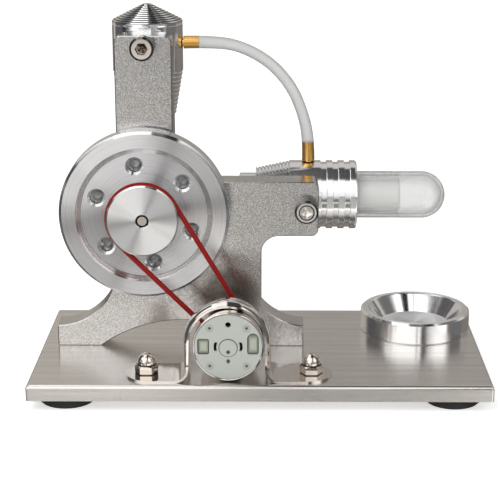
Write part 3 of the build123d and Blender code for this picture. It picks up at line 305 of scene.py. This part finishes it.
def soft_material(name, color, rough, grain, depth, tint=0.12, specular=0.5):
    """Rubber, paint or plastic with a fine moulded grain."""
    mat, tree, bsdf = new_material(name)
    bsdf.inputs["Specular IOR Level"].default_value = specular
    fine = noise(tree, object_coords(tree), 1.0 / (grain * MM), 3.0)
    tone = mixed(tree, fine, scaled(color, 1 - tint), scaled(color, 1 + tint))
    tree.links.new(tone, bsdf.inputs["Base Color"])
    tree.links.new(in_range(tree, fine, rough * 0.85, rough * 1.15), bsdf.inputs["Roughness"])
    bump(tree, bsdf, fine, depth * MM)
    return mat


def stamped_face(name, color, rough):
    """End cap with painted shade: rings at its boss, dimples and edge, spots in its dimples and two
    holes.
    """
    mat, tree, bsdf = new_material(name)
    bsdf.inputs["Roughness"].default_value = rough
    bsdf.inputs["Specular IOR Level"].default_value = 0.4
    grain = noise(tree, object_coords(tree), 2400.0, 3.0)

    def line(centre, radius, width, depth):
        """1 on a ring of a given radius and width, in millimetres."""
        gap = math_node(tree, "SUBTRACT", radius_about(tree, "Y", centre), radius * MM)
        gap = math_node(tree, "ABSOLUTE", gap)
        return add(tree, "MapRange", {"Value": gap, "From Min": width * MM,
                                      "From Max": width * MM * 0.35,
                                      "To Min": 0.0, "To Max": depth}).outputs[0]

    x, _, z = MOTOR
    # Dark rings of painted shade at the stamped steps round the boss and the edge.
    marks = line((x, 0.0, z - 0.25 * MM), 3.12, 0.22, 0.75)
    marks = math_node(tree, "MAXIMUM", marks, line(MOTOR, 11.7, 0.22, 0.7))
    # Painted shade round the four dimples and in them.
    for dx in (-6.3, 6.3):
        for dz in (-6.8, 6.8):
            spot = (x + dx * MM, 0.0, z + dz * MM)
            marks = math_node(tree, "MAXIMUM", marks, line(spot, 1.25, 0.16, 0.22))
            marks = math_node(tree, "MAXIMUM", marks, line(spot, 0.25, 0.55, 0.55))
    # Two dark dots of painted shade in the holes, one in the boss and one below it.
    for dz in (-1.65, -5.0):
        spot = (x, 0.0, z + dz * MM)
        marks = math_node(tree, "MAXIMUM", marks, line(spot, 0.0, 0.95, 0.98))
    tone = mixed(tree, grain, scaled(color, 0.92), color)
    tree.links.new(mixed(tree, marks, tone, scaled(color, 0.06)), bsdf.inputs["Base Color"])
    bump(tree, bsdf, grain, 0.003 * MM)
    return mat


def moulded_holder(name, color, rough):
    """Greenish moulding seen in two windows, with painted light in the middle and painted shade to
    its edges.
    """
    mat, tree, bsdf = new_material(name)
    place = place_of(tree)
    x, _, z = MOTOR
    middle = 0.0
    # Each window: painted light in its middle, painted shade towards its edges.
    for dx, dz, half_x, half_z in ((-8.4, 0.2, 2.0, 2.7), (8.5, 1.0, 1.9, 3.7)):
        across = math_node(tree, "SUBTRACT", place["X"], x + dx * MM)
        across = math_node(tree, "DIVIDE", math_node(tree, "ABSOLUTE", across), half_x * MM)
        along = math_node(tree, "SUBTRACT", place["Z"], z + dz * MM)
        along = math_node(tree, "DIVIDE", math_node(tree, "ABSOLUTE", along), half_z * MM)
        edge = math_node(tree, "MAXIMUM", across, along)
        inside = add(tree, "MapRange", {"Value": edge, "From Min": 1.0, "From Max": 0.35},
                     interpolation_type="SMOOTHSTEP").outputs[0]
        middle = math_node(tree, "MAXIMUM", middle, inside)
    tone = mixed(tree, middle, scaled(color, 0.42), scaled(color, 1.45))
    tree.links.new(tone, bsdf.inputs["Base Color"])
    grain = noise(tree, object_coords(tree), 1200.0, 2.0)
    tree.links.new(in_range(tree, grain, rough * 0.8, rough * 1.2), bsdf.inputs["Roughness"])
    bump(tree, bsdf, grain, 0.004 * MM)
    return mat


def clear_glass(name):
    """Borosilicate glass: greyer where it is seen edge-on, with faint draw ripples."""
    mat, tree, bsdf = new_material(name)
    bsdf.inputs["Transmission Weight"].default_value = 1.0
    bsdf.inputs["IOR"].default_value = 1.47
    bsdf.inputs["Roughness"].default_value = 0.01
    ripple = noise(tree, object_coords(tree, (60, 160, 160)), 1.0, 1.0)
    facing = add(tree, "LayerWeight", {"Blend": 0.45}).outputs["Facing"]
    edge = add(tree, "MapRange", {"Value": facing, "From Min": 0.35, "From Max": 0.95}).outputs[0]
    tint = mixed(tree, edge, (0.55, 0.555, 0.545), (0.10, 0.105, 0.10))
    tree.links.new(tint, bsdf.inputs["Base Color"])
    tree.links.new(in_range(tree, edge, 0.40, 0.95), bsdf.inputs["Alpha"])
    bump(tree, bsdf, ripple, 0.05 * MM)
    return mat


def milky_hose(name, brass_rgb):
    """Silicone hose, slightly milky; the brass nipples fill its two ends, as a clear wall shows."""
    mat, tree, bsdf = new_material(name)
    bsdf.inputs["Roughness"].default_value = 0.22
    bsdf.inputs["Specular IOR Level"].default_value = 0.5
    cloud = noise(tree, object_coords(tree), 260.0, 3.0)
    place = place_of(tree)
    facing = add(tree, "LayerWeight", {"Blend": 0.30}).outputs["Facing"]
    body = mixed(tree, facing, (0.56, 0.56, 0.55), (0.18, 0.18, 0.18))
    fog = mixed(tree, in_range(tree, cloud, 0.0, 0.2), (1, 1, 1), (0.85, 0.85, 0.85))
    tone = multiplied(tree, body, fog)
    upper = add(tree, "MapRange", {"Value": place["X"], "From Min": BRASS_TO_X + 0.2 * MM,
                                   "From Max": BRASS_TO_X - 0.2 * MM}).outputs[0]
    lower = add(tree, "MapRange", {"Value": place["Z"], "From Min": BRASS_TO_Z + 0.25 * MM,
                                   "From Max": BRASS_TO_Z - 0.25 * MM}).outputs[0]
    ends = math_node(tree, "MAXIMUM", upper, lower)
    shade = mixed(tree, facing, brass_rgb, scaled(brass_rgb, 0.45))
    tree.links.new(mixed(tree, ends, tone, shade), bsdf.inputs["Base Color"])
    tree.links.new(math_node(tree, "MULTIPLY", ends, 0.85), bsdf.inputs["Metallic"])
    clear = in_range(tree, facing, 0.60, 0.97)
    tree.links.new(math_node(tree, "MAXIMUM", clear, ends), bsdf.inputs["Alpha"])
    bump(tree, bsdf, cloud, 0.02 * MM)
    return mat


def dress(mat, *names):
    """Give CAD nodes a material."""
    for name in names:
        mesh = NODES[name].data
        mesh.materials.clear()
        mesh.materials.append(mat)


# Axes of the turned pieces, in metres.
CRANK = (-0.041, 0.0, 0.0615)
CYLINDERS_Y = 0.0218
MOTOR = (-0.01085, 0.0, 0.0225)
RING = (0.0584, 0.0205, 0.0)
POWER = (CRANK[0], CYLINDERS_Y, 0.0)
DISPLACER = (0.0, CYLINDERS_Y, CRANK[2])
SCREW_LEFT = (CRANK[0], 0.0, 0.1194)
SCREW_RIGHT = (0.0163, 0.0, CRANK[2])

# Where the brass tone of the two nipples ends on the hose.
BRASS_TO_X = -22.4 * MM
BRASS_TO_Z = 81.45 * MM

# The Y, in mm, behind which a ring of painted shade shows: everywhere, in the flywheel's holes,
# or in the left screw's socket.
ANY_DEPTH = -99
FLYWHEEL_HOLES_Y = -6.9
SOCKET_Y = -5.6

base = brushed_sheet("base_brushed", (0.83, 0.80, 0.765), 0.20)
blasted = blasted_metal("frame_blasted", (0.60, 0.59, 0.575), 0.17, 0.27)
# A dark ring of painted shade, for the gap round the shaft's end.
shaft_end = banded_metal("shaft_end", (0.40, 0.37, 0.34), 0.16, CRANK,
                         [(1.62, 2.2, 0.10, ANY_DEPTH)])
# The flywheel's drilled holes are darker deep down: painted shade.
wheel = turned_metal("wheel_turned", (0.89, 0.88, 0.885), 0.42, "Y", CRANK, 0.9, 0.012, 1.0, 0.27,
                     [(14.0, 21.5, 0.60, FLYWHEEL_HOLES_Y)], sides=0.16)
# A dark ring of painted shade round the bore, where the shaft goes in.
pulley = turned_metal("pulley_turned", (0.87, 0.87, 0.86), 0.42, "Y", CRANK, 0.3, 0.001, 1.0, 0.05,
                      [(1.9, 2.25, 0.04, ANY_DEPTH)], sides=0.16)
# Faces that look up get painted shade; on the cone also the inner corners of its steps.
upright = turned_metal("upright_turned", (0.90, 0.90, 0.91), 0.12, "Z", POWER, 0.4, 0.0, 0.6,
                       ledge_shade=0.06)
cone = turned_metal("cone_turned", (0.90, 0.90, 0.91), 0.16, "Z", POWER, 0.4, 0.0, 0.6,
                    ledge_shade=0.06, steps=(125.9, 0.59))
level = turned_metal("level_turned", (0.88, 0.88, 0.885), 0.14, "X", DISPLACER, 0.4, 0.0, 0.7)
ring = turned_metal("ring_turned", (0.92, 0.92, 0.93), 0.50, "Z", RING, 0.4, 0.0, 0.8, 0.1,
                    sides=0.16)
# The acorn nuts get two dark level lines of painted shade at their creases.
plating = polished_metal("bright_plating", (0.76, 0.69, 0.62), 0.07, [(10.5, 0.5), (13.75, 0.32)])
# Painted shade in the socket; painted shade and painted reflection darken the rim round the head.
screw_left = banded_metal("screw_left", (0.84, 0.765, 0.69), 0.08, SCREW_LEFT,
                          [(-1, 2.45, 0.45, SOCKET_Y), (3.45, 9.0, 0.22, ANY_DEPTH)])
# A ring of painted shade round the socket; painted shade and painted reflection on the rim.
screw_right = banded_metal("screw_right", (0.90, 0.88, 0.85), 0.22, SCREW_RIGHT,
                           [(2.35, 2.85, 0.12, ANY_DEPTH), (3.5, 9.0, 0.15, ANY_DEPTH)])
strap = polished_metal("strap_polish", (0.76, 0.715, 0.675), 0.09)
steel = polished_metal("plain_steel", (0.66, 0.65, 0.63), 0.22)
brass = polished_metal("brass_turned", (0.80, 0.51, 0.17), 0.16)
bronze = polished_metal("bronze_sintered", (0.55, 0.36, 0.18), 0.4)
dark_bronze = polished_metal("dark_bronze", (0.05, 0.04, 0.03), 0.5)
copper = polished_metal("copper_enamel", (0.72, 0.30, 0.16), 0.25)
dark_metal = polished_metal("dark_iron", (0.22, 0.22, 0.23), 0.35)
black_rubber = soft_material("black_rubber", (0.012, 0.012, 0.013), 0.7, 0.6, 0.02)
seal_rubber = soft_material("seal_rubber", (0.35, 0.05, 0.03), 0.5, 0.6, 0.01)
belt_rubber = soft_material("belt_rubber", (0.21, 0.004, 0.003), 0.5, 0.5, 0.01, specular=0.2)
motor_face = stamped_face("motor_face", (0.40, 0.415, 0.38), 0.45)
holder = moulded_holder("holder_plastic", (0.23, 0.25, 0.20), 0.3)
displacer = soft_material("displacer_satin", (0.95, 0.945, 0.93), 0.35, 0.5, 0.002, 0.04)
glass = clear_glass("hot_glass")
hose_skin = milky_hose("hose_milky", (0.74, 0.43, 0.12))

dress(base, "base_plate")
dress(black_rubber, *[n for n in NODES if n.startswith("foot_")])
dress(blasted, "engine_frame")
dress(wheel, "flywheel", "crank_disc")
dress(pulley, "belt_pulley")
dress(upright, "power_cylinder")
dress(cone, "power_cylinder_head")
dress(level, "displacer_cylinder")
dress(ring, "burner_ring")
dress(plating, "acorn_nuts")
dress(screw_left, "power_cylinder_screw")
dress(screw_right, "displacer_cylinder_screw")
dress(strap, "motor_strap", "motor_can", "power_con_rod", "displacer_con_rod", "motor_pulley")
dress(steel, "frame_screws", "bearing_outer_rings", "bearing_inner_rings", "bearing_balls",
      "burner_ring_screws", "strap_bolts", "pulley_set_screw", "shaft_spacer",
      "crank_pin", "crank_pin_clip", "crank_dowel", "displacer_rod", "power_wrist_pin",
      "displacer_wrist_pin", "motor_shaft")
dress(brass, "power_nipple", "displacer_nipple", "crank_pin_washer", "displacer_fork")
dress(dark_bronze, "motor_brushes")
dress(bronze, "gland_bush", "power_rod_bush", "displacer_rod_bush", "motor_bushes")
dress(copper, "rotor_windings", "commutator")
dress(dark_metal, "power_piston", "motor_magnets", "rotor_core")
dress(seal_rubber, "head_gasket", "hot_cap_seal")
dress(shaft_end, "main_shaft")
dress(belt_rubber, "drive_belt")
dress(motor_face, "motor_end_cap")
dress(holder, "brush_holders")
dress(displacer, "displacer_shell", "displacer_plug")
dress(glass, "hot_cap")


# ---------------------------------------------------------------- air hose
HOSE_R = 2.05
HOSE_ROUTE = [
    (-28.0, 118.0),
    (-20.0, 118.2),
    (-8.5, 117.2),
    (3.0, 111.2),
    (11.0, 102.2),
    (15.2, 92.5),
    (17.4, 83.0),
    (17.4, 74.6),
]
HOSE_SWELL = [1.14, 1.10, 1.0, 1.0, 1.0, 1.0, 1.06, 1.14]

curve = bpy.data.curves.new("air_hose_tube", "CURVE")
curve.dimensions = "3D"
curve.bevel_depth = HOSE_R * MM
curve.bevel_resolution = 6
curve.resolution_u = 16
spline = curve.splines.new("NURBS")
spline.points.add(len(HOSE_ROUTE) - 1)
for point, (x, z), swell in zip(spline.points, HOSE_ROUTE, HOSE_SWELL):
    point.co = (x * MM, CYLINDERS_Y, z * MM, 1)
    point.radius = swell
spline.order_u = 3
spline.use_endpoint_u = True
hose = bpy.data.objects.new("air_hose_tube", curve)
bpy.context.scene.collection.objects.link(hose)
curve.materials.append(hose_skin)
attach(hose, "engine")
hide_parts("air_hose")


# ---------------------------------------------------------------- studio
# The camera looks down by about this many degrees.
MIRROR_TILT = 16
# Directions with a larger Y than these point to the back wall, and nearly straight behind.
BACK_WALL = 0.6
STRAIGHT_BEHIND = 0.80


def studio_world():
    """A light tent seen in reflections; plain white behind the object.

    It is painted by angles in degrees: height above the horizon, heading from the front round
    to the right, away from the direction in which the front faces mirror the camera's view,
    and clock round that direction from the top to the right. Later paint covers earlier paint.
    """
    world = bpy.data.worlds.new("studio")
    bpy.context.scene.world = world
    world.use_nodes = True
    tree = world.node_tree
    tree.nodes.clear()
    out = tree.nodes.new("ShaderNodeOutputWorld")
    direction = add(tree, "TexCoord").outputs["Generated"]
    split = add(tree, "SeparateXYZ", {0: direction}).outputs
    height = math_node(tree, "ARCSINE", split["Z"])
    ahead = math_node(tree, "MULTIPLY", split["Y"], -1.0)
    heading = math_node(tree, "ARCTAN2", split["X"], ahead)
    tilt = math.radians(MIRROR_TILT)
    rise = add(tree, "VectorMath", {0: direction, 1: (0, -math.sin(tilt), math.cos(tilt))},
               operation="DOT_PRODUCT").outputs["Value"]
    aimed = add(tree, "VectorMath", {0: direction, 1: (0, -math.cos(tilt), -math.sin(tilt))},
                operation="DOT_PRODUCT").outputs["Value"]
    away = math_node(tree, "ARCCOSINE", aimed)
    clock = math_node(tree, "ARCTAN2", split["X"], rise)
    degree = math.radians(1)

    def band(value, low, high, soft):
        """1 between two angles in degrees, with soft edges."""
        rise = add(tree, "MapRange", {"Value": value, "From Min": (low - soft) * degree,
                                      "From Max": (low + soft) * degree},
                   interpolation_type="SMOOTHSTEP").outputs[0]
        fall = add(tree, "MapRange", {"Value": value, "From Min": (high - soft) * degree,
                                      "From Max": (high + soft) * degree},
                   interpolation_type="SMOOTHSTEP").outputs[0]
        return math_node(tree, "SUBTRACT", rise, fall, clamp=True)

    def both(one, other):
        """Where two masks overlap."""
        return math_node(tree, "MULTIPLY", one, other)

    def paint(under, mask, rgb):
        """The tent with a colour laid on a mask."""
        return mixed(tree, mask, under, rgb)

    # Warm grey walls, darker below the horizon.
    tent = paint((0.62, 0.60, 0.58), band(height, -95, -4, 3.0), (0.20, 0.18, 0.16))

    # White front panels, above and below a thin darker joint.
    front = band(heading, -80, 66, 4.0)
    tent = paint(tent, both(front, band(height, -9, 60, 3.0)), (1.50, 1.50, 1.51))
    tent = paint(tent, both(front, band(height, -64, -11, 3.0)), (1.42, 1.39, 1.34))

    # Sectors round the mirror direction: the fans on the turned wheel and pulley.
    grey_upper = both(band(away, 9, 46, 3.0), band(clock, 20, 76, 4.0))
    grey_lower = both(band(away, 9, 130, 3.0), band(clock, -158, -104, 4.0))
    dark_upper = both(band(away, 9, 130, 3.0), band(clock, 12, 26, 1.5))
    dark_lower = both(band(away, 9, 140, 3.0), band(clock, -167, -155, 1.5))
    dark_far = both(band(away, 50, 140, 3.0), band(clock, -80, -64, 2.0))
    dark_right = both(band(away, 9, 140, 3.0), band(clock, 78, 91, 1.5))
    dark_left = both(band(away, 12, 112, 3.0), band(clock, -104, -87, 2.0))
    tent = paint(tent, grey_upper, (0.46, 0.46, 0.47))
    tent = paint(tent, grey_lower, (0.58, 0.57, 0.55))
    tent = paint(tent, dark_upper, (0.0, 0.0, 0.0))
    tent = paint(tent, dark_lower, (0.01, 0.01, 0.01))
    tent = paint(tent, dark_far, (0.04, 0.04, 0.04))
    tent = paint(tent, math_node(tree, "MAXIMUM", dark_right, dark_left), (0.01, 0.01, 0.01))

    # Dark ceiling.
    tent = paint(tent, band(height, 64, 95, 4.0), (0.06, 0.06, 0.06))

    # Low back wall, paler at its left: what the base's top face mirrors.
    back = math_node(tree, "GREATER_THAN", split["Y"], BACK_WALL)
    across = add(tree, "MapRange", {"Value": split["X"], "From Min": -0.18,
                                    "From Max": 0.04}).outputs[0]
    back_tone = mixed(tree, across, (0.50, 0.47, 0.43), (0.36, 0.34, 0.32))
    tent = mixed(tree, both(band(height, -4, 30, 3.0), back), tent, back_tone)

    # Dark sides, which the cylinders' edges mirror.
    walls = band(height, -75, 62, 4.0)
    tent = paint(tent, both(band(heading, -126, -84, 4.0), walls), (0.10, 0.10, 0.105))
    tent = paint(tent, both(band(heading, 74, 112, 5.0), walls), (0.15, 0.15, 0.15))

    # A dark grey slit straight ahead.
    slit = both(band(heading, -1.2, 1.2, 0.6), band(height, -60, 60, 4.0))
    tent = paint(tent, slit, (0.15, 0.15, 0.15))

    # Shadows that the blasted frame mirrors: middle, low, top and leg.
    shadow = both(band(heading, -2.0, 10, 2.5), band(height, -15.2, -5, 1.5))
    for part in (
        both(band(heading, -3.5, 10, 2.0), band(height, -36, -20.5, 1.5)),
        both(band(heading, -14, -1, 2.5), band(height, -8.0, 1, 1.0)),
        both(band(heading, -1.2, 10, 0.8), band(height, -36, -18.0, 0.8)),
    ):
        shadow = math_node(tree, "MAXIMUM", shadow, part)
    tent = paint(tent, math_node(tree, "MULTIPLY", shadow, 0.92), (0.06, 0.06, 0.06))

    # The camera sees plain white, also straight through the glass.
    seen = add(tree, "Background", {"Color": tent, "Strength": 1.0}).outputs[0]
    white = add(tree, "Background", {"Color": (1, 1, 1, 1), "Strength": 1.0}).outputs[0]
    path = add(tree, "LightPath").outputs
    through = both(path["Is Transmission Ray"],
                   math_node(tree, "GREATER_THAN", split["Y"], STRAIGHT_BEHIND))
    plain = math_node(tree, "MAXIMUM", path["Is Camera Ray"], through)
    mix = add(tree, "MixShader", {0: plain, 1: seen, 2: white})
    tree.links.new(mix.outputs[0], out.inputs["Surface"])


def soft_light(name, place, target, size, power, mirrored=False):
    """A rectangular lamp that looks at a target."""
    data = bpy.data.lights.new(name, "AREA")
    data.shape = "RECTANGLE"
    data.size, data.size_y = size
    data.energy = power
    light = bpy.data.objects.new(name, data)
    light.location = place
    aim = Vector(target) - Vector(place)
    light.rotation_euler = aim.to_track_quat("-Z", "Y").to_euler()
    light.visible_glossy = mirrored
    bpy.context.scene.collection.objects.link(light)


def pale_floor():
    """White table top; it glows a little so that it burns out to white, as in a light tent."""
    mesh = bpy.data.meshes.new("floor")
    half = 3.0
    corners = [(-half, -half, 0), (half, -half, 0), (half, half, 0), (-half, half, 0)]
    mesh.from_pydata(corners, [], [(0, 1, 2, 3)])
    floor = bpy.data.objects.new("floor", mesh)
    bpy.context.scene.collection.objects.link(floor)
    mat, tree, bsdf = new_material("floor_white")
    bsdf.inputs["Base Color"].default_value = (0.9, 0.9, 0.9, 1)
    bsdf.inputs["Roughness"].default_value = 0.9
    bsdf.inputs["Specular IOR Level"].default_value = 0.0
    bsdf.inputs["Emission Color"].default_value = (1, 1, 1, 1)
    bsdf.inputs["Emission Strength"].default_value = 0.55
    mesh.materials.append(mat)
    floor.visible_glossy = False


studio_world()
pale_floor()
soft_light("key", (-0.35, -0.55, 0.75), (0, 0, 0.05), (0.5, 0.5), 1.6)
soft_light("fill", (0.6, -0.4, 0.5), (0, 0, 0.05), (0.5, 0.5), 0.6)
soft_light("overhead", (-0.135, 0.0, 0.45), (-0.135, 0.0, 0.0), (0.23, 0.40), 0.36, True)

camera = bpy.data.cameras.new("camera")
camera.lens = 104.63
camera.sensor_width = 36.0
camera.shift_x = -0.0366
camera.shift_y = 0.0008
camera.clip_start = 0.01
viewer = bpy.data.objects.new("camera", camera)
viewer.location = (0.00287, -0.50287, 0.19282)
viewer.rotation_euler = (math.radians(74.122), math.radians(-0.12), math.radians(0.05))
bpy.context.scene.collection.objects.link(viewer)
bpy.context.scene.camera = viewer
bpy.context.scene.view_settings.view_transform = "Standard"
